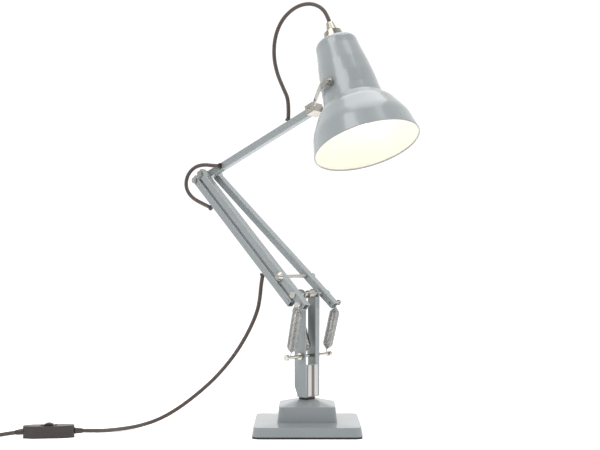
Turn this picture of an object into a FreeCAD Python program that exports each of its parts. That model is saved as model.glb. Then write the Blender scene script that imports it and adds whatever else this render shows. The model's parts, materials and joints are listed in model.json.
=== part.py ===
import FreeCAD, Part
import math
import os
from FreeCAD import Placement, Rotation, Vector

# Spring-balanced architect desk lamp, millimetres.
# Row frame: origin at the middle of the base's underside, +Z up.
# Arm frame: X points forward in the plane of the arms, Y sideways, Z up.

SIZES = {
    "arm_yaw": 40, "base_side": 132, "pad_side": 131, "pad_height": 2.5,
    "tier_low_top": 13.4, "tier_low_taper": 3.4, "slope_top": 15.2,
    "tier_high_side": 73, "tier_high_top": 33.6, "tier_high_taper": 4, "crown_top": 40,
    "crown_side": 24, "weight_side": 108, "weight_height": 8,
    "spindle_radius": 4, "washer_radius": 10, "post_floor": 43, "post_top": 175,
    "post_width": 27.5, "post_depth": 17.5, "sheet_wall": 1.5, "web_top": 83, "lip_width": 8,
    "badge_width": 19, "badge_height": 38, "badge_wall": 0.8,
    "pivot_x": 5, "pivot_z": 169, "lower_length": 232, "lower_angle": 138.2,
    "upper_length": 187, "upper_angle": 22.1, "head_reach": 66, "link_offset": 13,
    "link_angle": 217.3, "bar_width": 9.5, "link_width": 9.5, "upper_width": 9.5, "bar_wall": 1,
    "bar_spread": 26.9, "bar_close": 12.5, "tail_length": 17, "bar_over": 5,
    "shaft_radius": 2.5, "pin_play": 0.05, "rod_x": 2, "rod_z": 93, "rod_radius": 2,
    "rod_length": 78, "spring_spread": 35, "spring_radius": 6.7, "spring_bore": 5.4,
    "lever_length": 27, "lever_angle": 199, "cross_up": 32, "head_roll": 5,
    "shade_lean": 1.5, "rim_drop": 79, "shade_wall": 1, "rim_radius": 65,
    "strap_gap": 39.2, "strap_wall": 1.6, "strap_height": 6, "cord_radius": 2.5,
    "bulb_radius": 21, "coil_inner": 20.5, "coil_outer": 36.5, "coil_height": 15.5,
}

doc = FreeCAD.newDocument("desk_lamp")
sheet = doc.addObject("Spreadsheet::Sheet", "sizes")
for row, (alias, number) in enumerate(SIZES.items(), 1):
    sheet.set(f"A{row}", alias)
    sheet.set(f"B{row}", str(number))
    sheet.setAlias(f"B{row}", alias)
doc.recompute()


def size(alias):
    return float(sheet.get(alias))


def polar(start, length, degrees):
    """A point in the arm plane, length away from start at an angle from forward."""
    turn = math.radians(degrees)
    return Vector(start.x + length * math.cos(turn), start.y, start.z + length * math.sin(turn))


X_AXIS = Vector(1, 0, 0)
Y_AXIS = Vector(0, 1, 0)
Z_AXIS = Vector(0, 0, 1)
ROW = Placement()
ARM = Placement(Vector(), Rotation(Z_AXIS, -size("arm_yaw")))
FORK = Vector(size("pivot_x"), 0, size("pivot_z"))
ELBOW = polar(FORK, size("lower_length"), size("lower_angle"))
HEAD_END = polar(ELBOW, size("upper_length"), size("upper_angle"))
LINK_LOW = polar(FORK, size("link_offset"), size("link_angle"))
LINK_HIGH = polar(ELBOW, size("link_offset"), size("link_angle"))
LEVER_END = polar(FORK, size("lever_length"), size("lever_angle"))
HEAD = (
    ARM
    * Placement(HEAD_END, Rotation(Y_AXIS, -size("upper_angle")))
    * Placement(Vector(), Rotation(X_AXIS, -size("head_roll")))
)
SHADE = HEAD * Placement(Vector(size("head_reach"), 0, 0), Rotation(Y_AXIS, -size("shade_lean")))
HOLE = size("shaft_radius") + size("pin_play")

nodes = []


def bind(thing, **dimensions):
    """Tie each property to a cell when its value names one, or set it as a plain number."""
    for name, amount in dimensions.items():
        if isinstance(amount, str):
            thing.setExpression(name, "sizes." + amount)
        else:
            setattr(thing, name, amount)
    thing.recompute()


def box(name, length, width, height, centre):
    made = doc.addObject("Part::Box", name)
    bind(made, Length=length, Width=width, Height=height)
    half = Vector(made.Length.Value / 2, made.Width.Value / 2, made.Height.Value / 2)
    made.Placement = Placement(Vector(*centre) - half, Rotation())
    return made


def rod(name, radius, length, centre, axis=Y_AXIS):
    made = doc.addObject("Part::Cylinder", name)
    bind(made, Radius=radius, Height=length)
    turn = Rotation(Z_AXIS, axis)
    start = Vector(*centre) - turn.multVec(Vector(0, 0, made.Height.Value / 2))
    made.Placement = Placement(start, turn)
    return made


def cone(name, low_radius, high_radius, height, foot, axis=Z_AXIS):
    made = doc.addObject("Part::Cone", name)
    bind(made, Radius1=low_radius, Radius2=high_radius, Height=height)
    made.Placement = Placement(Vector(*foot), Rotation(Z_AXIS, axis))
    return made


def fuse(name, shapes):
    made = doc.addObject("Part::MultiFuse", name)
    made.Shapes = shapes
    return made


def cut(name, base, tools):
    made = doc.addObject("Part::Cut", name)
    made.Base = base
    made.Tool = tools[0] if len(tools) == 1 else fuse(name + "_tools", tools)
    return made


def node(thing, label, frame=ROW):
    """Name a finished sub-part and carry it from its own frame to the row frame."""
    thing.Label = label
    thing.Placement = frame * thing.Placement
    nodes.append(thing)
    return thing


def rounded(points):
    """Edges of a closed outline; each point is (x, y, corner radius)."""
    starts, edges = [], []
    count = len(points)
    for place in range(count):
        x, y, radius = points[place]
        corner = Vector(x, y, 0)
        before = Vector(*points[place - 1][:2], 0) - corner
        after = Vector(*points[(place + 1) % count][:2], 0) - corner
        before.normalize()
        after.normalize()
        if radius == 0:
            starts.append((corner, corner))
            continue
        half = before.getAngle(after) / 2
        reach = radius / math.tan(half)
        middle = before + after
        middle.normalize()
        bow = corner + middle * (radius / math.sin(half) - radius)
        first, last = corner + before * reach, corner + after * reach
        starts.append((first, last))
        edges.append(Part.Arc(first, bow, last))
    for place in range(count):
        edges.append(Part.LineSegment(starts[place - 1][1], starts[place][0]))
    return edges


def square(side, radius):
    half = side / 2
    return [(-half, -half, radius), (half, -half, radius), (half, half, radius), (-half, half, radius)]


def new_body(name):
    return doc.addObject("PartDesign::Body", name)


def add_sketch(part, name, role, outlines, height=0.0):
    drawing = part.newObject("Sketcher::SketchObject", name)
    plane = [item for item in part.Origin.OriginFeatures if item.Role == role][0]
    drawing.AttachmentSupport = [(plane, "")]
    drawing.MapMode = "FlatFace"
    drawing.AttachmentOffset = Placement(Vector(0, 0, height), Rotation())
    for outline in outlines:
        drawing.addGeometry(rounded(outline), False)
    doc.recompute()
    return drawing


def pad(name, outlines, length, role="XY_Plane", height=0.0):
    part = new_body(name)
    drawing = add_sketch(part, name + "_outline", role, outlines, height)
    grown = part.newObject("PartDesign::Pad", name + "_pad")
    grown.Profile = drawing
    bind(grown, Length=length)
    doc.recompute()
    return part


def lofts(name, layers):
    """A stack of straight lofts through rounded squares, each (height, side, corner radius)."""
    part = new_body(name)
    for step in range(len(layers) - 1):
        ends = []
        for end in (0, 1):
            height, side, radius = layers[step + end]
            title = f"{name}_outline_{step}_{end}"
            ends.append(add_sketch(part, title, "XY_Plane", [square(side, radius)], height))
        loft = part.newObject("PartDesign::AdditiveLoft", f"{name}_loft_{step}")
        loft.Profile = ends[0]
        loft.Sections = [ends[1]]
        loft.Ruled = True
        doc.recompute()
    return part


def revolve(name, outline):
    """Turn an outline of (radius, height, corner radius) points about Z."""
    part = new_body(name)
    drawing = add_sketch(part, name + "_outline", "XZ_Plane", [outline])
    turned = part.newObject("PartDesign::Revolution", name + "_turn")
    turned.Profile = drawing
    turned.ReferenceAxis = (drawing, ["V_Axis"])
    turned.Angle = 360
    doc.recompute()
    return part


def square_tube(name, width, start, end, before, after):
    """A square tube on the line from start to end, longer at each end by before and after."""
    along = end - start
    reach = along.Length
    along.normalize()
    side = size(width)
    outlines = [square(side, 1.2), square(side - 2 * size("bar_wall"), 0.6)]
    tube = pad(name, outlines, reach + before + after)
    tube.Placement = Placement(start - along * before, Rotation(X_AXIS, Y_AXIS, along, "ZYX"))
    return tube


# ---- Base -------------------------------------------------------------------
def make_base():
    low = size("base_side")
    high = size("tier_high_side")
    low_top = low - size("tier_low_taper")
    high_top = high - size("tier_high_taper")
    cover = lofts("base_lower_body", [
        (size("pad_height"), low, 9.5), (size("tier_low_top"), low_top, 9.5),
        (size("slope_top"), high, 7.0),
    ])
    weight_middle = size("pad_height") + size("weight_height") / 2
    room = box("weight_room", "weight_side", "weight_side", "weight_height", (0, 0, weight_middle))
    centre_hole = rod("low_hole", "spindle_radius", 60, (0, 0, 20), Z_AXIS)
    node(cut("base_lower_cut", cover, [room, centre_hole]), "base_lower_tier")
    top = lofts("base_upper_body", [
        (size("slope_top"), high, 7.0), (size("tier_high_top"), high_top, 7.0),
        (size("crown_top"), size("crown_side"), 5.0),
    ])
    top_hole = rod("top_hole", "spindle_radius", 60, (0, 0, 30), Z_AXIS)
    node(cut("base_upper_cut", top, [top_hole]), "base_upper_tier")
    node(pad("base_pad_body", [square(size("pad_side"), 9)], "pad_height"), "base_pad")
    iron = pad("weight_body", [square(size("weight_side"), 4)], "weight_height", height=size("pad_height"))
    iron_hole = rod("iron_hole", "spindle_radius", 30, (0, 0, 6), Z_AXIS)
    node(cut("weight_cut", iron, [iron_hole]), "base_weight")
    washer = rod("washer_disc", "washer_radius", 2.9, (0, 0, 41.45), Z_AXIS)
    washer_hole = rod("washer_hole", "spindle_radius", 9, (0, 0, 41), Z_AXIS)
    node(cut("washer_cut", washer, [washer_hole]), "swivel_washer")
    shank = rod("spindle_shank", "spindle_radius", 49.5, (0, 0, 27.25), Z_AXIS)
    spindle_cap = rod("spindle_cap", 6.5, 4, (0, 0, 47.2), Z_AXIS)
    node(fuse("spindle_fuse", [shank, spindle_cap]), "base_spindle")


# ---- Post -------------------------------------------------------------------
def make_post():
    floor = size("post_floor")
    half = size("post_width") / 2
    deep = size("post_depth") / 2
    wall = size("sheet_wall")
    top = size("post_top")
    flank = [(-deep, floor + 13, 0), (-deep + 5.6, floor, 0), (deep, floor, 0),
             (deep, top, 7), (-deep, top, 7)]
    cheeks = []
    for name, y in (("cheek_left", half), ("cheek_right", -half + wall)):
        cheeks.append(pad(name, [flank], "sheet_wall", "XZ_Plane", y - wall))
    web_tall = size("web_top") - floor
    web = box("web", "sheet_wall", "post_width", web_tall, (deep - wall / 2, 0, floor + web_tall / 2))
    lip_tall = top - 10 - floor
    lip_y = half - size("lip_width") / 2
    lip = box("lip", "sheet_wall", "lip_width", lip_tall, (deep - wall / 2, lip_y, floor + lip_tall / 2))
    plate = box("post_plate", 13, "post_width", 2, (deep - 6.5 - 0.4, 0, floor + 1))
    holes = [
        rod("swivel_hole", size("spindle_radius") + 0.06, 20, (0, 0, floor), Z_AXIS),
        rod("fork_hole", HOLE, 60, FORK),
        rod("rod_hole", "rod_radius", 60, (size("rod_x"), 0, size("rod_z"))),
    ]
    node(cut("post_cut", fuse("post_fuse", cheeks + [web, lip, plate]), holes), "post_channel", ARM)
    badge_z = size("web_top") - size("badge_height") / 2 - 1
    badge_x = deep + size("badge_wall") / 2
    badge = box("badge", "badge_wall", "badge_width", "badge_height", (badge_x, 0, badge_z))
    node(badge, "badge_plate", ARM)
    anchor = (size("rod_x"), 0, size("rod_z"))
    node(rod("anchor", "rod_radius", "rod_length", anchor), "spring_anchor_rod", ARM)
    nuts = []
    for side in (-1, 1):
        for name, y, radius, thick in (("inner", half + 1.6, 4.2, 3), ("outer", 41, 3.6, 4)):
            title = f"rod_nut_{name}_{side + 1}"
            disc = rod(title, radius, thick, (size("rod_x"), side * y, size("rod_z")))
            if name == "inner":
                bore = rod(title + "_bore", "rod_radius", 9, (size("rod_x"), side * y, size("rod_z")))
                disc = cut(title + "_ring", disc, [bore])
            nuts.append(disc)
    node(fuse("rod_nuts_fuse", nuts), "anchor_rod_nuts", ARM)


# ---- Lower arm --------------------------------------------------------------
def make_lower_arm():
    tail = size("tail_length")
    stud_spot = polar(FORK, -tail, size("lower_angle"))
    bolt_spot = polar(FORK, size("cross_up"), size("lower_angle"))
    for name, side in (("lower_bar_left", -1), ("lower_bar_right", 1)):
        start = Vector(FORK.x, side * size("bar_spread"), FORK.z)
        end = Vector(ELBOW.x, side * size("bar_close"), ELBOW.z)
        tube = square_tube(name + "_tube", "bar_width", start, end, tail + size("bar_over"), 5)
        holes = [
            rod(name + "_fork_hole", HOLE, 90, FORK),
            rod(name + "_elbow_hole", "shaft_radius", 60, ELBOW),
            rod(name + "_bolt_hole", "shaft_radius", 90, bolt_spot),
            rod(name + "_stud_hole", "rod_radius", 90, stud_spot),
        ]
        node(cut(name + "_cut", tube, holes), name, ARM)
    bolt_y = size("bar_spread") - size("cross_up") * 14.4 / 232
    node(rod("bolt", "shaft_radius", 2 * bolt_y + 10, bolt_spot), "cross_bolt", ARM)
    dome_y = bolt_y + size("bar_width") / 2 + 0.6
    dome = cone("dome_left", 6.2, 3.4, 5, (bolt_spot.x, -dome_y, bolt_spot.z), Vector(0, -1, 0))
    round_nut = rod("nut_right", 4.2, 4, (bolt_spot.x, dome_y + 2, bolt_spot.z))
    inside = rod("nut_bore", "shaft_radius", 2 * bolt_y + 10, bolt_spot)
    node(cut("cross_nuts_cut", fuse("cross_nuts_fuse", [dome, round_nut]), [inside]), "cross_bolt_nuts", ARM)
    for name, side in (("spring_stud_left", -1), ("spring_stud_right", 1)):
        spot = (stud_spot.x, side * 31.5, stud_spot.z)
        shank = rod(name + "_shank", "rod_radius", 17, spot)
        button = rod(name + "_button", 3.4, 1.5, (stud_spot.x, side * 40.75, stud_spot.z))
        node(fuse(name + "_fuse", [shank, button]), name, ARM)
    pin = rod("elbow_pin", "shaft_radius", 41, ELBOW)
    ends = [rod(f"elbow_end_{side + 1}", 4.2, 2.5, (ELBOW.x, side * 19.1, ELBOW.z)) for side in (-1, 1)]
    node(fuse("elbow_spindle_fuse", [pin] + ends), "elbow_spindle", ARM)


def ring(label, spot, y_low, y_high, radius, bore, frame=ARM):
    middle = (spot.x, (y_low + y_high) / 2, spot.z)
    disc = rod(label + "_disc", radius, y_high - y_low, middle)
    hole = rod(label + "_hole", bore, y_high - y_low + 4, middle)
    return node(cut(label + "_cut", disc, [hole]), label, frame)


# ---- Parallel linkage -------------------------------------------------------
def make_linkage():
    ring("elbow_bush", ELBOW, 5.0, 7.2, 4.6, HOLE)
    start = Vector(LINK_LOW.x, -size("bar_spread"), LINK_LOW.z)
    end = Vector(LINK_HIGH.x, -size("bar_close"), LINK_HIGH.z)
    tube = square_tube("link_tube", "link_width", start, end, 5, 5)
    holes = [rod("link_low_hole", HOLE, 90, LINK_LOW), rod("link_high_hole", HOLE, 60, LINK_HIGH)]
    node(cut("link_cut", tube, holes), "link_bar", ARM)
    ring("link_bush", LINK_HIGH, -20.0, -17.8, 4, HOLE)
    shaft = rod("crank_rod", "shaft_radius", 68, FORK)
    ends = [rod(f"crank_end_{side + 1}", 4.2, 2.4, (FORK.x, side * 33.2, FORK.z)) for side in (-1, 1)]
    node(fuse("crank_shaft_fuse", [shaft] + ends), "crank_shaft", ARM)
    reach = size("link_offset")
    turn = Rotation(Y_AXIS, -size("link_angle"))
    arm_box = box("crank_strip", reach, 2, 6, (reach / 2, 0, 0))
    discs = [rod("crank_eye", 4.6, 2, (0, 0, 0)), rod("crank_toe", 4, 2, (reach, 0, 0))]
    pin = rod("crank_pin", "shaft_radius", 13.6, (reach, -4.8, 0))
    shape = fuse("crank_plate_fuse", [arm_box, pin] + discs)
    eye = rod("crank_eye_hole", "shaft_radius", 9, (0, 0, 0))
    node(cut("crank_plate_cut", shape, [eye]), "crank_plate",
         ARM * Placement(Vector(FORK.x, -20.6, FORK.z), turn))
    reach = size("lever_length")
    turn = Rotation(Y_AXIS, -size("lever_angle"))
    strip = box("lever_strip", reach, 3, 6, (reach / 2, 0, 0))
    hub = rod("lever_hub", 4.6, 10.4, (0, 0, 0))
    pin = rod("lever_pin", 1.6, 10, (reach, 0, 0))
    toe = rod("lever_toe", 3, 3, (reach, 0, 0))
    shape = fuse("lever_fuse", [strip, hub, pin, toe])
    eye = rod("lever_hole", "shaft_radius", 20, (0, 0, 0))
    node(cut("lever_cut", shape, [eye]), "spring_lever", ARM * Placement(FORK, turn))


def make_spring(label, top, foot, pin_radius):
    """A hollow barrel with tapered ends and a straight hook at each end."""
    reach = (top - foot).Length
    hook, taper = 7.0, 7.0
    barrel = reach - 2 * (hook + taper)
    outer = [rod(label + "_barrel", "spring_radius", barrel, (0, 0, reach / 2), Z_AXIS)]
    outer.append(cone(label + "_low", 1.6, size("spring_radius"), taper, (0, 0, hook)))
    outer.append(cone(label + "_high", size("spring_radius"), 1.6, taper, (0, 0, reach - hook - taper)))
    start = pin_radius + 1.2
    bore = rod(label + "_bore", "spring_bore", barrel, (0, 0, reach / 2), Z_AXIS)
    hollow = cut(label + "_hollow", fuse(label + "_outer", outer), [bore])
    low_hook = rod(label + "_hook_low", 0.8, hook - start + 1, (0, 0, (start + hook + 1) / 2), Z_AXIS)
    high_mid = reach - (start + hook + 1) / 2
    high_hook = rod(label + "_hook_high", 0.8, hook - start + 1, (0, 0, high_mid), Z_AXIS)
    whole = fuse(label + "_fuse", [hollow, low_hook, high_hook])
    node(whole, label, ARM * Placement(foot, Rotation(Z_AXIS, top - foot)))


def make_springs():
    stud_spot = polar(FORK, -size("tail_length"), size("lower_angle"))
    for label, side in (("spring_left", -1), ("spring_right", 1)):
        y = side * (size("spring_spread") + 0.6)
        foot = Vector(size("rod_x"), y - side * 1.5, size("rod_z"))
        make_spring(label, Vector(stud_spot.x, y + side * 1.2, stud_spot.z), foot, 2)
    make_spring("spring_middle", LEVER_END, Vector(size("rod_x"), 0, size("rod_z")), 2)


# ---- Upper arm --------------------------------------------------------------
def make_upper_arm():
    tube = square_tube("upper_body", "upper_width", ELBOW, HEAD_END, 6, -0.4)
    entry = polar(HEAD_END, -36, size("upper_angle"))
    entry_top = polar(entry, 4, size("upper_angle") + 90)
    exit_spot = polar(ELBOW, 25, size("upper_angle"))
    up = polar(Vector(), 1, size("upper_angle") + 90)
    holes = [
        rod("upper_elbow_hole", HOLE, 30, ELBOW),
        rod("head_cable_hole", 3.1, 5, entry_top, up),
        rod("elbow_cable_hole", 3.1, 5, (exit_spot.x, -4, exit_spot.z)),
    ]
    node(cut("upper_cut", tube, holes), "upper_arm_tube", ARM)
    offset = size("link_offset")
    turn = Rotation(Y_AXIS, -size("link_angle"))
    strip = box("tail_strip", offset + 2, 2.2, 8, (offset / 2 - 1, 0, 0))
    toe = rod("tail_toe", 4, 2.2, (offset, 0, 0))
    eye = rod("tail_eye", 5, 2.2, (0, 0, 0))
    pin = rod("tail_pin", "shaft_radius", 15.6, (offset, -6.7, 0))
    hole = rod("tail_hole", HOLE, 9, (0, 0, 0))
    shape = cut("tail_cut", fuse("tail_fuse", [strip, toe, eye, pin]), [hole])
    node(shape, "tail_plate", ARM * Placement(Vector(ELBOW.x, -5.9, ELBOW.z), turn))


# ---- Yoke -------------------------------------------------------------------
def make_yoke():
    block = box("yoke_body", 13, 19, 12, (7, 0, 0))
    spigot = rod("yoke_spigot", 3.6, 13, (-5.5, 0, 0), X_AXIS)
    knob_hole = rod("knob_hole", 2.05, 9, (7, 6, 0))
    node(cut("yoke_cut", fuse("yoke_fuse", [block, spigot]), [knob_hole]), "yoke_block", HEAD)
    reach, gap, wall = size("head_reach"), size("strap_gap"), size("strap_wall")
    for name, side in (("yoke_strap_left", -1), ("yoke_strap_right", 1)):
        path = [(2, 9.5, 0), (15, 9.5, 3), (reach - 12, gap, 6), (reach + 6, gap, 0),
                (reach + 6, gap + wall, 0), (reach - 12.6, gap + wall, 7),
                (14.4, 9.5 + wall, 4), (2, 9.5 + wall, 0)]
        strip = pad(name + "_strip", [[(x, side * y, r) for x, y, r in path]], "strap_height")
        strip.Placement = Placement(Vector(0, 0, -size("strap_height") / 2), Rotation())
        hole = rod(name + "_hole", 2.05, 9, (reach, side * gap, 0))
        slot = box(name + "_slot", 26, 8, 2.4, (0, 0, 0))
        middle = Vector(34.5, side * (gap + 10.5) / 2, 0)
        turned = Placement(middle, Rotation(Z_AXIS, side * math.degrees(math.atan2(gap - 9.5, reach - 27))))
        slot.Placement = turned * slot.Placement
        stud_hole = rod(name + "_stud_hole", 2.05, 9, (7, side * 10, 0))
        node(cut(name + "_cut", strip, [hole, stud_hole, slot]), name, HEAD)
    shank = rod("knob_shank", 2, 9, (7, 7.5, 0))
    grip = rod("knob_grip", 4.8, 13, (7, 18, 0))
    node(fuse("knob_fuse", [shank, grip]), "clamp_knob", HEAD)


# ---- Shade ------------------------------------------------------------------
def make_shade():
    drop, wall, rim = size("rim_drop"), size("shade_wall"), size("rim_radius")
    outside = [(rim, 0, 0), (59.5, 25, 40), (47, 48, 24), (37, 58, 3), (35.2, 70, 0),
               (33.8, 88, 30), (31, 108, 0), (27, 130, 40), (25.5, 145, 8), (6.5, 145, 0)]
    inside = [(x - wall, z, r) for x, z, r in outside]
    inside[-1] = (6.5, 145 - wall, 0)
    inside[-2] = (25.5 - wall, 145 - wall, 7)
    outline = [(x, z - drop, r) for x, z, r in outside + inside[::-1]]
    screw_hole = rod("shade_screw_hole", 2, 90, (0, 0, 0))
    node(cut("shade_cut", revolve("shade_body", outline), [screw_hole]), "shade_cone", SHADE)
    top = 145 - drop
    collar = [rod("collar_low", 14.3, 5, (0, 0, top + 2.6), Z_AXIS),
              rod("collar_high", 11.3, 7, (0, 0, top + 8.6), Z_AXIS),
              rod("collar_neck", 6.4, 4, (0, 0, top - 0.5), Z_AXIS)]
    node(fuse("collar_fuse", collar), "shade_collar", SHADE)
    gland = cone("gland", 7.4, 4.6, 14, (0, 0, top + 12.1))
    node(gland, "cable_gland", SHADE)
    holder = [rod("holder_skirt", 16, 30, (0, 0, 13), Z_AXIS), rod("holder_cap", 12, 33.5, (0, 0, 44.5), Z_AXIS)]
    node(fuse("holder_fuse", holder), "lamp_holder", SHADE)
    glass = doc.addObject("Part::Sphere", "bulb_glass")
    bind(glass, Radius="bulb_radius")
    glass.Placement = Placement(Vector(0, 0, -30), Rotation())
    neck = cone("bulb_neck", 17, 13, 27.8, (0, 0, -30))
    node(fuse("bulb_fuse", [glass, neck]), "bulb", SHADE)
    pieces = []
    for side in (-1, 1):
        pieces.append(rod(f"screw_{side + 1}", 2, 13, (0, side * 38.2, 0)))
        pieces.append(rod(f"screw_washer_{side + 1}", 4.6, 2.6, (0, side * 37.4, 0)))
        pieces.append(rod(f"screw_nut_{side + 1}", 4, 3, (0, side * 42.6, 0)))
    node(fuse("screws_fuse", pieces), "side_screws", SHADE)


# ---- Cables -----------------------------------------------------------------
def make_cord(label, points, frame=ROW):
    """A round cord on straight runs joined by tangent arcs as large as the runs allow."""
    spots = [Vector(*point) for point in points]
    edges, last, radii = [], spots[0], []
    for before, corner, after in zip(spots, spots[1:], spots[2:]):
        back, ahead = before - corner, after - corner
        shorter = min(back.Length, ahead.Length)
        back.normalize()
        ahead.normalize()
        reach = 0.45 * shorter
        half = back.getAngle(ahead) / 2
        radius = reach * math.tan(half)
        middle = back + ahead
        middle.normalize()
        bow = corner + middle * (radius / math.sin(half) - radius)
        start, end = corner + back * reach, corner + ahead * reach
        edges += [Part.LineSegment(last, start).toShape(), Part.Arc(start, bow, end).toShape()]
        radii.append(round(radius, 1))
        last = end
    edges.append(Part.LineSegment(last, spots[-1]).toShape())
    path = Part.Wire(edges)
    ring_edge = Part.makeCircle(size("cord_radius"), spots[0], spots[1] - spots[0])
    tube = doc.addObject("Part::Feature", label + "_tube")
    tube.Shape = path.makePipeShell([Part.Wire([ring_edge])], True, True)
    node(tube, label, frame)
    expected = path.Length * math.pi * size("cord_radius") ** 2
    print(label, "length", round(path.Length, 1), "radii", radii, "volume ratio",
          round(tube.Shape.Volume / expected, 4))


HEAD_CABLE = [(29.3, 8.1, 503.8), (24.4, 9, 515), (14, 8, 526), (-3, 6, 532), (-24, 4, 529),
              (-44, 3, 516), (-55, 2, 495),
              (-57, 2, 470), (-50, 1, 447), (-39, 0, 428), (-29, 0, 410), (-30.8, 0, 387)]
ELBOW_CABLE = [(-143, -7.5, 334), (-153, -9.5, 334.5), (-166, -12, 336.5), (-180, -15, 334.5),
               (-190, -18, 326), (-194, -19.5, 314), (-191, -20, 302), (-181, -19, 292),
               (-167, -17.5, 285.5), (-151, -15.8, 279)]
MAINS_LEAD = [(-55.2, 15.6, 192.4), (-57.4, 17.2, 181), (-58.6, 18, 165), (-62, 18, 146), (-74, 21, 119),
              (-91, 30, 91), (-114, 41, 63), (-138, 47, 41), (-163, 45, 22), (-187, 35, 9),
              (-210, 18, 3.4), (-229, -3, 3), (-246, -24, 4), (-262, -39, 6.4), (-277.6, -45.6, 7.5)]
MAINS_TAIL = [(-338, -53.4, 7.5), (-352, -55.2, 6), (-367, -55, 3.4), (-383, -50, 2.8), (-396, -42, 2.6),
              (-405, -38.8, 2.6)]
PLUG_LEAD = [(-436, -32.5, 12.8), (-448, -36, 11.5), (-459, -44, 9), (-468, -55, 8), (-473, -66, 8.6),
             (-474, -76, 9)]
COIL_CENTRE = Vector(-422, 0, 0)


def make_cables():
    make_cord("head_cable", HEAD_CABLE, ARM)
    make_cord("elbow_cable", ELBOW_CABLE, ARM)
    make_cord("mains_lead", MAINS_LEAD)
    make_cord("mains_tail", MAINS_TAIL)
    make_cord("plug_lead", PLUG_LEAD)
    coil = rod("coil_disc", "coil_outer", "coil_height", (0, 0, size("coil_height") / 2), Z_AXIS)
    coil_hole = rod("coil_hole", "coil_inner", 40, (0, 0, 8), Z_AXIS)
    node(cut("coil_cut", coil, [coil_hole]), "cable_coil", Placement(COIL_CENTRE, Rotation()))
    place = Placement(Vector(-308, -49.5, 0), Rotation(Z_AXIS, 7.4))
    outline = [(-30, -5, 4), (-18, -9.5, 6), (18, -9.5, 6), (30, -5, 4), (30, 5, 4), (18, 9.5, 6),
               (-18, 9.5, 6), (-30, 5, 4)]
    node(pad("switch_low", [outline], 7), "switch_lower_case", place)
    upper = pad("switch_high", [outline], 7.5, height=7.1)
    window = box("rocker_window", 19, 9, 12, (0, 0, 13))
    node(cut("switch_high_cut", upper, [window]), "switch_upper_case", place)
    rocker = rod("rocker_drum", 9, 8.4, (0, 0, 8.6))
    rocker_room = box("rocker_keep", 18, 8.4, 12, (0, 0, 14.2))
    trimmed = doc.addObject("Part::Common", "rocker_common")
    trimmed.Base = rocker
    trimmed.Tool = rocker_room
    node(trimmed, "switch_rocker", place)
    place = Placement(Vector(-474, -98, 0), Rotation(Z_AXIS, -90))
    shell = pad("plug_shell", [[(-22, -6, 3), (-14, -14, 5), (14, -14, 5), (14, 14, 5), (-14, 14, 5),
                                (-22, 6, 3)]], 18)
    node(shell, "plug_body", place)
    pins = [box(f"plug_pin_{y}", 17, 4, 6, (22.6, y, 9)) for y in (-7, 0, 7)]
    node(fuse("plug_pins_fuse", pins), "plug_pins", place)


make_base()
make_post()
make_lower_arm()
make_linkage()
make_springs()
make_upper_arm()
make_yoke()
make_shade()
make_cables()
doc.recompute()

for thing in doc.Objects:
    if "Invalid" in thing.State or "Error" in thing.State:
        raise RuntimeError(f"{thing.Name} failed: {thing.State}")
os.makedirs("parts", exist_ok=True)
for old in os.listdir("parts"):
    os.remove(os.path.join("parts", old))
for thing in nodes:
    if thing.Shape.isNull() or not thing.Shape.isValid():
        raise RuntimeError(f"{thing.Label} has no valid shape")
    thing.Shape.exportStep(f"parts/{thing.Label}.step")
    low = thing.Shape.BoundBox
    print(f"{thing.Label:20s} solids {len(thing.Shape.Solids)} volume {thing.Shape.Volume:10.1f} "
          f"x {low.XMin:7.1f} {low.XMax:7.1f} y {low.YMin:7.1f} {low.YMax:7.1f} z {low.ZMin:6.1f} {low.ZMax:6.1f}")
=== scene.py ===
import json
import math

import bmesh
import bpy
from mathutils import Matrix, Vector


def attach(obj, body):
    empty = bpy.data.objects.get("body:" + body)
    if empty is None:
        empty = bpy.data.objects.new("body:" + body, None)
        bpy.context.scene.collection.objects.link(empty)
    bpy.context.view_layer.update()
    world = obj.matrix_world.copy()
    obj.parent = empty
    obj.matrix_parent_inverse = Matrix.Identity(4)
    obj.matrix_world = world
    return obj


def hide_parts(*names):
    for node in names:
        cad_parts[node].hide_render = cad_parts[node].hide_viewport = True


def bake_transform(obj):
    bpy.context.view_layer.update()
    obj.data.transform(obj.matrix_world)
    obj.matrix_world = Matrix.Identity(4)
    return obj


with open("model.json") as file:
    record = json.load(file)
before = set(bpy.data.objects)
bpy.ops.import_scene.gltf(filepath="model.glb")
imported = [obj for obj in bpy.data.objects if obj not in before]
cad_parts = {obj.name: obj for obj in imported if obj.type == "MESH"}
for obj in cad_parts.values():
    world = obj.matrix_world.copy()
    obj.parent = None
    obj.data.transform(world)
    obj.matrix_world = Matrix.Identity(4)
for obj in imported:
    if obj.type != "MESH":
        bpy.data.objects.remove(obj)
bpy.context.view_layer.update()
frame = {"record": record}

MM = 0.001

# ---- Places, in the arm frame: X forward along the arms, Y sideways, Z up (metres) ----
ARM_YAW = math.radians(-40)
FORK = Vector((5, 0, 169)) * MM
LOWER_ANGLE, LOWER_LENGTH = math.radians(138.2), 232 * MM
UPPER_ANGLE, UPPER_LENGTH = math.radians(22.1), 187 * MM
HEAD_ROLL, HEAD_REACH, SHADE_LEAN = math.radians(-5), 66 * MM, math.radians(-1.5)
ROD_SPOT = Vector((2, 0, 93)) * MM
TAIL_LENGTH, LEVER_LENGTH, LEVER_ANGLE = 17 * MM, 27 * MM, math.radians(199)

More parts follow.
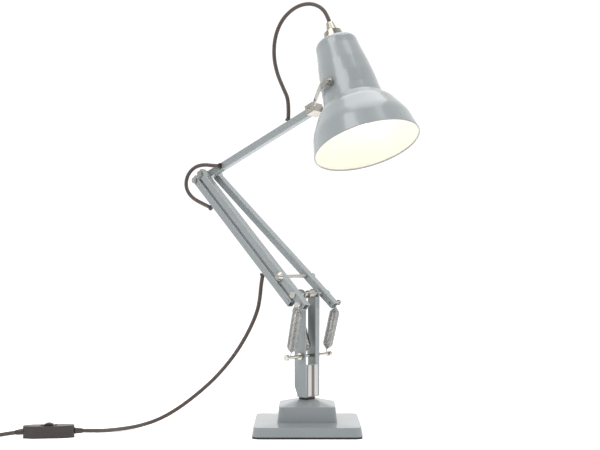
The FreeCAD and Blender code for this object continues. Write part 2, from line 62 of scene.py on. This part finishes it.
# ---- Sizes of what is drawn here, in metres ----
CORD = 0.005
LEAD_SPLIT_HEIGHT = 0.091
RIM_DROP, RIM_RADIUS, RIM_WIRE = 79 * MM, 65 * MM, 0.0009
KNOB_REACH, KNURL_DEPTH, KNURL_STEPS = 0.007, 0.0003, 72
SPRING_FOOT_SIDE, SPRING_TOP_SIDE = 0.0341, 0.0368
SPRING_MEAN_RADIUS, SPRING_WIRE_RADIUS, SPRING_PITCH = 0.00595, 0.00066, 0.00142
SPRING_TURN_STEPS = 14
LAMP_MIDDLE = (0, 0, 0.2)
FLOOR_REACH = 6


def polar(start, length, angle):
    return start + Vector((math.cos(angle), 0, math.sin(angle))) * length


ELBOW = polar(FORK, LOWER_LENGTH, LOWER_ANGLE)
HEAD_END = polar(ELBOW, UPPER_LENGTH, UPPER_ANGLE)
STUD = polar(FORK, -TAIL_LENGTH, LOWER_ANGLE)
LEVER_END = polar(FORK, LEVER_LENGTH, LEVER_ANGLE)
ARM = Matrix.Rotation(ARM_YAW, 4, "Z")
HEAD = (ARM @ Matrix.Translation(HEAD_END) @ Matrix.Rotation(-UPPER_ANGLE, 4, "Y")
        @ Matrix.Rotation(HEAD_ROLL, 4, "X"))
SHADE = HEAD @ Matrix.Translation((HEAD_REACH, 0, 0)) @ Matrix.Rotation(SHADE_LEAN, 4, "Y")

# ---- Cord routes and their fittings, in millimetres; the first two are in the arm frame ----
HEAD_CABLE = [(29.3, 8.1, 503.8), (24.4, 9, 515), (14, 8, 526), (-3, 6, 532), (-24, 4, 529),
              (-44, 3, 516), (-55, 2, 495), (-57, 2, 470), (-50, 1, 447), (-39, 0, 428),
              (-29, 0, 410), (-30.8, 0, 387)]
ELBOW_CABLE = [(-143, -7.5, 334), (-153, -9.5, 334.5), (-166, -12, 336.5), (-180, -15, 334.5),
               (-190, -18, 326), (-194, -19.5, 314), (-191, -20, 302), (-181, -19, 292),
               (-167, -17.5, 285.5), (-151, -15.8, 279)]
MAINS_LEAD = [(-55.2, 15.6, 192.4), (-57.4, 17.2, 181), (-58.6, 18, 165), (-62, 18, 146), (-74, 21, 119),
              (-91, 30, 91), (-114, 41, 63), (-138, 47, 41), (-163, 45, 22), (-187, 35, 9),
              (-210, 18, 3.4), (-229, -3, 3), (-246, -24, 4), (-262, -39, 6.4), (-277.6, -45.6, 7.5)]
MAINS_TAIL = [(-338, -53.4, 7.5), (-352, -55.2, 6), (-367, -55, 3.4), (-383, -50, 2.8), (-396, -42, 2.6),
              (-405, -38.8, 2.6)]
PLUG_LEAD = [(-436, -32.5, 12.8), (-448, -36, 11.5), (-459, -44, 9), (-468, -55, 8), (-473, -66, 8.6),
             (-474, -76, 9)]
COIL_CENTRE = Vector((-422, 0, 0))
COIL_RADII = (33.7, 28.5, 23.3)
COIL_HEIGHTS = (2.6, 7.7, 12.8)
COIL_TOP_RADIUS = 31.0
TURN_STEPS = 16
CHANGE_FROM = 0.75
GROMMET_REACH, SWITCH_RELIEF_REACH, PLUG_RELIEF_REACH = 2.2, 9.0, 14.0


def cad_node(name):
    return bpy.data.objects[name]


# ---- Material helpers ----
def material(name, colour, rough=0.5, metal=0.0):
    made = bpy.data.materials.new(name)
    made.use_nodes = True
    shader = made.node_tree.nodes["Principled BSDF"]
    shader.inputs["Base Color"].default_value = (*colour, 1)
    shader.inputs["Roughness"].default_value = rough
    shader.inputs["Metallic"].default_value = metal
    return made, made.node_tree.nodes, made.node_tree.links, shader


def noise(nodes, links, scale, detail=4.0, stretch=(1, 1, 1)):
    place = nodes.new("ShaderNodeTexCoord")
    mapping = nodes.new("ShaderNodeMapping")
    mapping.inputs["Scale"].default_value = stretch
    grain = nodes.new("ShaderNodeTexNoise")
    grain.inputs["Scale"].default_value = scale
    grain.inputs["Detail"].default_value = detail
    links.new(place.outputs["Object"], mapping.inputs["Vector"])
    links.new(mapping.outputs["Vector"], grain.inputs["Vector"])
    return grain.outputs["Fac"]


def spread(nodes, links, value, low, high, target):
    """Map a 0-1 value to low-high and feed it to a socket."""
    ranged = nodes.new("ShaderNodeMapRange")
    ranged.inputs["To Min"].default_value = low
    ranged.inputs["To Max"].default_value = high
    links.new(value, ranged.inputs["Value"])
    links.new(ranged.outputs["Result"], target)


def tint(nodes, links, value, dark, light, target, low=0.35, high=0.65):
    """Run a value from a dark colour at low to a light one at high, and feed it to a socket."""
    ramp = nodes.new("ShaderNodeValToRGB")
    ramp.color_ramp.elements[0].position = low
    ramp.color_ramp.elements[0].color = (*dark, 1)
    ramp.color_ramp.elements[1].position = high
    ramp.color_ramp.elements[1].color = (*light, 1)
    links.new(value, ramp.inputs["Fac"])
    links.new(ramp.outputs["Color"], target)


def bump(nodes, links, shader, value, strength, distance):
    bumped = nodes.new("ShaderNodeBump")
    bumped.inputs["Strength"].default_value = strength
    bumped.inputs["Distance"].default_value = distance
    links.new(value, bumped.inputs["Height"])
    links.new(bumped.outputs["Normal"], shader.inputs["Normal"])


def coated(name, colour, rough, peel=0.12, coat=0.35):
    """Sprayed enamel: faint colour drift, orange peel and a clear gloss."""
    made, nodes, links, shader = material(name, colour, rough)
    drift = noise(nodes, links, 14)
    darker = tuple(part * 0.97 for part in colour)
    tint(nodes, links, drift, darker, colour, shader.inputs["Base Color"])
    smear = noise(nodes, links, 60, 6)
    spread(nodes, links, smear, rough - 0.02, rough + 0.03, shader.inputs["Roughness"])
    bump(nodes, links, shader, noise(nodes, links, 900, 2), peel, 0.00003)
    shader.inputs["Coat Weight"].default_value = coat
    shader.inputs["Coat Roughness"].default_value = 0.12
    return made


def metal(name, colour, rough, stretch=(1, 1, 30), scale=120):
    """Plated or brushed metal; its fine grain is even, or finer along the axis with more stretch."""
    made, nodes, links, shader = material(name, colour, rough, 1.0)
    grain = noise(nodes, links, scale, 5, stretch)
    spread(nodes, links, grain, rough * 0.7, rough * 1.5, shader.inputs["Roughness"])
    tint(nodes, links, noise(nodes, links, 40), tuple(c * 0.86 for c in colour), colour,
         shader.inputs["Base Color"])
    bump(nodes, links, shader, grain, 0.1, 0.0001)
    return made


def moulded(name, colour, rough, grit=500, depth=0.15):
    made, nodes, links, shader = material(name, colour, rough)
    fine = noise(nodes, links, grit, 3)
    tint(nodes, links, noise(nodes, links, 30), tuple(c * 0.8 for c in colour), colour,
         shader.inputs["Base Color"])
    spread(nodes, links, fine, rough - 0.08, rough + 0.1, shader.inputs["Roughness"])
    bump(nodes, links, shader, fine, depth, 0.0002)
    return made


def braided(name, dark, light):
    """Round textile braid: two sets of threads crossing at 45 degrees on the tube's own UVs."""
    made, nodes, links, shader = material(name, light, 0.85)
    place = nodes.new("ShaderNodeTexCoord")
    waves = []
    for turn in (-1, 1):
        mapping = nodes.new("ShaderNodeMapping")
        mapping.inputs["Rotation"].default_value = (0, 0, turn * math.radians(45))
        links.new(place.outputs["UV"], mapping.inputs["Vector"])
        wave = nodes.new("ShaderNodeTexWave")
        wave.inputs["Scale"].default_value = 3.4
        wave.inputs["Distortion"].default_value = 0.4
        links.new(mapping.outputs["Vector"], wave.inputs["Vector"])
        waves.append(wave.outputs["Fac"])
    weave = nodes.new("ShaderNodeMath")
    weave.operation = "MULTIPLY"
    links.new(waves[0], weave.inputs[0])
    links.new(waves[1], weave.inputs[1])
    tint(nodes, links, weave.outputs[0], dark, light, shader.inputs["Base Color"], 0.05, 0.7)
    bump(nodes, links, shader, weave.outputs[0], 0.6, 0.0004)
    shader.inputs["Sheen Weight"].default_value = 0.4
    return made


def badge_metal(name, colour, stripe):
    """Brushed plate with one plain dark stripe down its middle, 2.7 to 3 mm each side."""
    made, nodes, links, shader = material(name, colour, 0.32, 0.9)
    place = nodes.new("ShaderNodeTexCoord")
    turn = nodes.new("ShaderNodeMapping")
    turn.inputs["Rotation"].default_value = (0, 0, -ARM_YAW)
    axes = nodes.new("ShaderNodeSeparateXYZ")
    links.new(place.outputs["Object"], turn.inputs["Vector"])
    links.new(turn.outputs["Vector"], axes.inputs["Vector"])
    side = nodes.new("ShaderNodeMath")
    side.operation = "ABSOLUTE"
    centimetres = nodes.new("ShaderNodeMath")
    centimetres.operation = "MULTIPLY"
    centimetres.inputs[1].default_value = 100
    links.new(axes.outputs["Y"], side.inputs[0])
    links.new(side.outputs[0], centimetres.inputs[0])
    tint(nodes, links, centimetres.outputs[0], stripe, colour, shader.inputs["Base Color"], 0.27, 0.30)
    bump(nodes, links, shader, noise(nodes, links, 300, 4, (1, 1, 20)), 0.15, 0.0001)
    return made


def glowing(name, colour, strength):
    made, nodes, links, shader = material(name, colour, 0.4)
    frost = noise(nodes, links, 200)
    tint(nodes, links, frost, tuple(c * 0.96 for c in colour), colour, shader.inputs["Emission Color"])
    shader.inputs["Emission Strength"].default_value = strength
    return made


PAINT = coated("dove_enamel", (0.236, 0.260, 0.268), 0.28, 0.04, 0.5)
WHITE = coated("white_enamel", (0.80, 0.77, 0.70), 0.45, 0.04)
CHROME = metal("bright_plating", (0.55, 0.53, 0.49), 0.12, (1, 1, 1), 300)
STEEL = metal("brushed_steel", (0.52, 0.50, 0.46), 0.28)
NICKEL = metal("satin_nickel", (0.46, 0.43, 0.37), 0.22, (1, 1, 8))
SPRING = metal("spring_wire", (0.45, 0.45, 0.44), 0.25, (1, 1, 1), 400)
BRONZE = metal("dark_bronze", (0.20, 0.15, 0.10), 0.3)
IRON = moulded("cast_iron", (0.08, 0.08, 0.08), 0.8, 120, 0.5)
RUBBER = moulded("pad_rubber", (0.016, 0.015, 0.014), 0.75, 260, 0.4)
NYLON = moulded("nylon", (0.03, 0.03, 0.03), 0.45)
PLASTIC = moulded("switch_plastic", (0.028, 0.019, 0.016), 0.33)
HOLDER = moulded("holder_plastic", (0.75, 0.74, 0.70), 0.5)
BADGE = badge_metal("brushed_badge", (0.47, 0.46, 0.45), (0.15, 0.135, 0.12))
BRAID = braided("cable_braid", (0.030, 0.020, 0.016), (0.135, 0.098, 0.080))
GLOW = glowing("opal_bulb", (1.0, 0.88, 0.68), 2.6)

SLOT_LOOKS = {"paint": PAINT, "rubber": RUBBER, "iron": IRON, "nylon": NYLON, "chrome": CHROME,
              "steel": STEEL, "badge": BADGE, "nickel": NICKEL, "knob": BRONZE, "holder": HOLDER,
              "bulb": GLOW, "cable": BRAID, "switch": PLASTIC}


# ---- Mesh helpers ----
def scaled(points, matrix=None):
    moved = [Vector(point) * MM for point in points]
    return moved if matrix is None else [matrix @ point for point in moved]


def smooth_line(points, name):
    """The points' smooth line, read back from a NURBS curve that has no bevel."""
    curve = bpy.data.curves.new(name + "_line", "CURVE")
    curve.dimensions = "3D"
    curve.resolution_u = 8
    spline = curve.splines.new("NURBS")
    spline.points.add(len(points) - 1)
    for place, point in enumerate(points):
        spline.points[place].co = (*point, 1)
    spline.order_u = 3
    spline.use_endpoint_u = True
    holder = bpy.data.objects.new(name + "_line", curve)
    bpy.context.scene.collection.objects.link(holder)
    bpy.context.view_layer.update()
    read = bpy.data.meshes.new_from_object(holder)
    line = [vertex.co.copy() for vertex in read.vertices]
    bpy.data.objects.remove(holder)
    bpy.data.meshes.remove(read)
    return line


def sweep(name, line, radius, look, sides=12):
    """A closed round tube along a line, with UVs in tube circumferences."""
    shape = bmesh.new()
    uv_layer = shape.loops.layers.uv.new("UVMap")
    rings, travelled, side = [], [0.0], None
    for place, point in enumerate(line):
        ahead = line[min(place + 1, len(line) - 1)] - line[max(place - 1, 0)]
        ahead.normalize()
        if side is None:
            side = ahead.orthogonal()
        side = (side - ahead * side.dot(ahead)).normalized()
        other = ahead.cross(side)
        circle = []
        for step in range(sides):
            turn = 2 * math.pi * step / sides
            spoke = side * math.cos(turn) + other * math.sin(turn)
            circle.append(shape.verts.new(point + spoke * radius))
        rings.append(circle)
        if place:
            travelled.append(travelled[-1] + (point - line[place - 1]).length)
    around = 2 * math.pi * radius
    for place in range(len(line) - 1):
        for step in range(sides):
            after = (step + 1) % sides
            face = shape.faces.new((rings[place][step], rings[place][after],
                                    rings[place + 1][after], rings[place + 1][step]))
            face.smooth = True
            corners = ((step, place), (step + 1, place), (step + 1, place + 1), (step, place + 1))
            for loop, (turn, along) in zip(face.loops, corners):
                loop[uv_layer].uv = (turn / sides, travelled[along] / around)
    shape.faces.new(rings[0][::-1])
    shape.faces.new(rings[-1])
    return finish_mesh(name, shape, look)


def finish_mesh(name, shape, look):
    mesh = bpy.data.meshes.new(name)
    shape.to_mesh(mesh)
    shape.free()
    mesh.materials.append(look)
    made = bpy.data.objects.new(name, mesh)
    bpy.context.scene.collection.objects.link(made)
    return made


def lathe(name, outline, matrix, look, sides=48, knurl=0.0):
    """Turn (radius, height) points about Z; a knurl of that depth is cut into the widest part."""
    shape = bmesh.new()
    widest = max(radius for radius, height in outline)
    rings = []
    for radius, height in outline:
        circle = []
        for step in range(sides):
            turn = 2 * math.pi * step / sides
            reach = radius - (knurl * (step % 2) if radius > widest * 0.97 else 0.0)
            spot = Vector((reach * math.cos(turn), reach * math.sin(turn), height))
            circle.append(shape.verts.new(matrix @ spot))
        rings.append(circle)
    for low, high in zip(rings, rings[1:]):
        for step in range(sides):
            after = (step + 1) % sides
            shape.faces.new((low[step], low[after], high[after], high[step])).smooth = not knurl
    shape.faces.new(rings[0][::-1])
    shape.faces.new(rings[-1])
    return finish_mesh(name, shape, look)


# ---- Camera and light ----
def make_camera():
    lens = bpy.data.cameras.new("camera")
    lens.lens = 70.14
    lens.sensor_width = 36
    eye = bpy.data.objects.new("camera", lens)
    eye.location = (-0.0087, -1.448, 0.2222)
    eye.rotation_euler = (math.radians(91.27), 0, 0)
    bpy.context.scene.collection.objects.link(eye)
    bpy.context.scene.camera = eye


def area_light(name, place, target, side, power):
    lamp = bpy.data.lights.new(name, "AREA")
    lamp.size = side
    lamp.energy = power
    made = bpy.data.objects.new(name, lamp)
    made.location = place
    made.rotation_euler = (Vector(target) - Vector(place)).to_track_quat("-Z", "Y").to_euler()
    bpy.context.scene.collection.objects.link(made)


def make_studio():
    """A white world, brighter towards +Y, three soft lights, and a pale floor that glows a little."""
    world = bpy.data.worlds.new("studio")
    world.use_nodes = True
    nodes, links = world.node_tree.nodes, world.node_tree.links
    sky = nodes["Background"]
    sky.inputs["Color"].default_value = (1, 1, 1, 1)
    place = nodes.new("ShaderNodeTexCoord")
    axes = nodes.new("ShaderNodeSeparateXYZ")
    fade = nodes.new("ShaderNodeMapRange")
    fade.inputs["From Min"].default_value = -0.9
    fade.inputs["From Max"].default_value = 0.7
    fade.inputs["To Min"].default_value = 0.25
    fade.inputs["To Max"].default_value = 1.1
    links.new(place.outputs["Generated"], axes.inputs["Vector"])
    links.new(axes.outputs["Y"], fade.inputs["Value"])
    links.new(fade.outputs["Result"], sky.inputs["Strength"])
    bpy.context.scene.world = world
    bpy.context.scene.view_settings.view_transform = "Standard"
    area_light("key", (-0.9, -1.1, 1.5), LAMP_MIDDLE, 1.2, 18)
    area_light("fill", (1.2, -0.7, 0.9), LAMP_MIDDLE, 1.0, 6)
    area_light("top", (0, 0.2, 1.8), LAMP_MIDDLE, 1.4, 14)
    shape = bmesh.new()
    signs = ((-1, -1), (1, -1), (1, 1), (-1, 1))
    shape.faces.new([shape.verts.new((x * FLOOR_REACH, y * FLOOR_REACH, 0)) for x, y in signs])
    pale, nodes, links, shader = material("pale_floor", (0.93, 0.93, 0.93), 0.9)
    shader.inputs["Emission Color"].default_value = (1, 1, 1, 1)
    shader.inputs["Emission Strength"].default_value = 0.42
    finish_mesh("floor", shape, pale)


# ---- Cords ----
def declare(piece, line, body, far_end, nodes, **facts):
    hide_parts(*nodes)
    if body:
        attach(piece, body)


def make_cords():
    head = smooth_line(scaled(HEAD_CABLE, ARM), "head")
    piece = sweep("head_cord", head, CORD / 2, BRAID)
    declare(piece, head, None, "object", ["head_cable"], stiffness="limp")
    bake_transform(piece)

    elbow = smooth_line(scaled(ELBOW_CABLE, ARM), "elbow")
    piece = sweep("elbow_cord", elbow, CORD / 2, BRAID)
    declare(piece, elbow, None, "object", ["elbow_cable"], stiffness="limp")
    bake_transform(piece)

    lead = smooth_line(scaled(MAINS_LEAD), "lead")
    middle = min(range(len(lead)), key=lambda place: abs(lead[place].z - LEAD_SPLIT_HEIGHT))
    upper, lower = lead[:middle + 1], lead[middle:]
    piece = sweep("lead_upper", upper, CORD / 2, BRAID)
    declare(piece, upper, None, "object", ["mains_lead"], stiffness="limp", lay="hanging")
    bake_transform(piece)
    piece = sweep("lead_lower", lower, CORD / 2, BRAID)
    declare(piece, lower, None, "fitting", ["mains_lead"], stiffness="limp",
            with_pieces=[cad_node("switch_lower_case"), cad_node("switch_upper_case")])
    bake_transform(piece)

    coil = coil_points()
    tail = smooth_line(scaled(MAINS_TAIL[:-1] + coil[1:] + PLUG_LEAD), "tail")
    piece = sweep("tail_cord", tail, CORD / 2, BRAID, 8)
    declare(piece, tail, "base", "plug", ["mains_tail", "cable_coil", "plug_lead"], lay="coiled",
            stiffness="limp", with_pieces=[cad_node("plug_body"), cad_node("plug_pins")])


def coil_points():
    """Three turns inwards, three outwards on top and one over them, changing in each last quarter."""
    coil = []
    turns = [(radius, 0) for radius in COIL_RADII] + [(radius, 1) for radius in reversed(COIL_RADII)]
    turns.append((COIL_TOP_RADIUS, 2))
    for place, (radius, layer) in enumerate(turns):
        next_radius, next_layer = turns[min(place + 1, len(turns) - 1)]
        for step in range(TURN_STEPS):
            share = max(0.0, (step / TURN_STEPS - CHANGE_FROM) / (1 - CHANGE_FROM))
            reach = radius + (next_radius - radius) * share
            rise = COIL_HEIGHTS[layer] + (COIL_HEIGHTS[next_layer] - COIL_HEIGHTS[layer]) * share
            turn = -math.pi / 2 - 2 * math.pi * step / TURN_STEPS
            coil.append((COIL_CENTRE.x + reach * math.cos(turn), reach * math.sin(turn), rise))
    return coil


# ---- Springs ----
def spring_line(foot, top):
    """A close-wound coil between two pins, tapered at both ends, with a straight wire to each pin."""
    reach = (top - foot).length
    turn_matrix = (top - foot).to_track_quat("Z", "Y").to_matrix()
    pin_gap, straight, taper, neck = 0.0024, 0.0065, 0.0075, 0.12
    barrel = reach - 2 * straight
    steps = int(barrel / SPRING_PITCH) * SPRING_TURN_STEPS
    line = [Vector((0, 0, pin_gap)), Vector((0, 0, straight * 0.7))]
    for step in range(steps + 1):
        height = barrel * step / steps
        edge = min(height, barrel - height)
        swell = neck + (1 - neck) * math.sin(min(edge / taper, 1.0) * math.pi / 2)
        width = SPRING_MEAN_RADIUS * min(1.0, swell)
        angle = 2 * math.pi * step / SPRING_TURN_STEPS
        line.append(Vector((width * math.cos(angle), width * math.sin(angle), straight + height)))
    line += [Vector((0, 0, reach - straight * 0.7)), Vector((0, 0, reach - pin_gap))]
    return [foot + turn_matrix @ point for point in line]


def make_springs():
    """Three coils, from the anchor rod to the two studs and to the lever's pin."""
    pins = {"spring_left": (-SPRING_FOOT_SIDE, STUD, -SPRING_TOP_SIDE),
            "spring_right": (SPRING_FOOT_SIDE, STUD, SPRING_TOP_SIDE),
            "spring_middle": (0, LEVER_END, 0)}
    for node, (foot_side, top_pin, top_side) in pins.items():
        foot = ARM @ (ROD_SPOT + Vector((0, foot_side, 0)))
        top = ARM @ (top_pin + Vector((0, top_side, 0)))
        piece = sweep(node + "_coil", spring_line(foot, top), SPRING_WIRE_RADIUS, SPRING, 6)
        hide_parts(node)
        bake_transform(piece)


# ---- Looks of the CAD nodes ----
def dress_nodes():
    for row in frame["record"]["subparts"]:
        look = SLOT_LOOKS[row["material_slot"]]
        mesh = cad_node(row["node"]).data
        mesh.materials.clear()
        mesh.materials.append(look)
        for face in mesh.polygons:
            face.material_index = 0


def paint_shade_inside():
    """Faces that look towards the shade's own axis, and the underside of its crown, are white enamel."""
    inward, crown_radius = -0.05, 0.026
    shade = cad_node("shade_cone").data
    shade.materials.append(WHITE)
    centre, axis = SHADE.translation, (SHADE.to_3x3() @ Vector((0, 0, 1))).normalized()
    for face in shade.polygons:
        offset = face.center - centre
        outward = offset - axis * offset.dot(axis)
        facing = face.normal.dot(outward.normalized())
        if facing < inward or (outward.length < crown_radius and face.normal.dot(axis) < 0):
            face.material_index = 1


def make_knob():
    """A turned knob with a fine straight knurl, standing for the plain CAD knob."""
    stem = [(2.0, 3.2), (2.0, 11.3)]
    grip = [(4.0, 11.4), (4.7, 12.2), (4.7, 22.6), (4.1, 23.6), (3.2, 24.1), (0.8, 24.3)]
    turn = Matrix.Translation((KNOB_REACH, 0, 0)) @ Matrix.Rotation(math.radians(-90), 4, "X")
    outline = [(radius * MM, height * MM) for radius, height in stem + grip]
    piece = lathe("knurled_knob", outline, HEAD @ turn, BRONZE, KNURL_STEPS, KNURL_DEPTH)
    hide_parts("clamp_knob")
    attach(piece, "knob")


def aimed(place, direction):
    """A matrix at a place whose Z looks along a direction."""
    turn = direction.to_track_quat("Z", "Y").to_matrix().to_4x4()
    return Matrix.Translation(place) @ turn


def make_grommets():
    """A soft tapered sleeve round each cable where it enters a tube, the switch or the plug."""
    level = Matrix.Identity(4)
    entries = {
        "head_grommet": (HEAD_CABLE[-1], HEAD_CABLE[-2], ARM, "upper_arm", GROMMET_REACH),
        "elbow_grommet": (ELBOW_CABLE[0], ELBOW_CABLE[1], ARM, "upper_arm", GROMMET_REACH),
        "link_grommet": (ELBOW_CABLE[-1], ELBOW_CABLE[-2], ARM, "link", GROMMET_REACH),
        "lead_grommet": (MAINS_LEAD[0], MAINS_LEAD[1], level, "link", GROMMET_REACH),
        "switch_relief_in": (MAINS_LEAD[-1], MAINS_LEAD[-2], level, "base", SWITCH_RELIEF_REACH),
        "switch_relief_out": (MAINS_TAIL[0], MAINS_TAIL[1], level, "base", SWITCH_RELIEF_REACH),
        "plug_relief": (PLUG_LEAD[-1], PLUG_LEAD[-2], level, "base", PLUG_RELIEF_REACH),
    }
    for name, (end, before, matrix, body, reach) in entries.items():
        place, back = scaled((end, before), matrix)
        collar = [(2.55, -1.4), (3.7, -1.2), (3.9, -0.3), (3.7, 0.4)]
        sleeve = [(3.4, reach * 0.5), (2.9, reach - 0.3), (2.55, reach)]
        outline = [(radius * MM, height * MM) for radius, height in collar + sleeve]
        piece = lathe(name, outline, aimed(place, back - place), PLASTIC, 32)
        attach(piece, body)


def make_rim_bead():
    """The rolled edge round the shade's mouth."""
    centre, steps = Vector((0, 0, -RIM_DROP)), 120
    line = []
    for step in range(steps + 1):
        turn = 2 * math.pi * step / steps
        line.append(SHADE @ (centre + Vector((math.cos(turn), math.sin(turn), 0)) * (RIM_RADIUS - RIM_WIRE)))
    piece = sweep("rim_bead", line, RIM_WIRE, PAINT, 10)
    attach(piece, "shade")


make_camera()
dress_nodes()
make_cords()
make_studio()
make_springs()
make_knob()
make_grommets()
make_rim_bead()
paint_shade_inside()
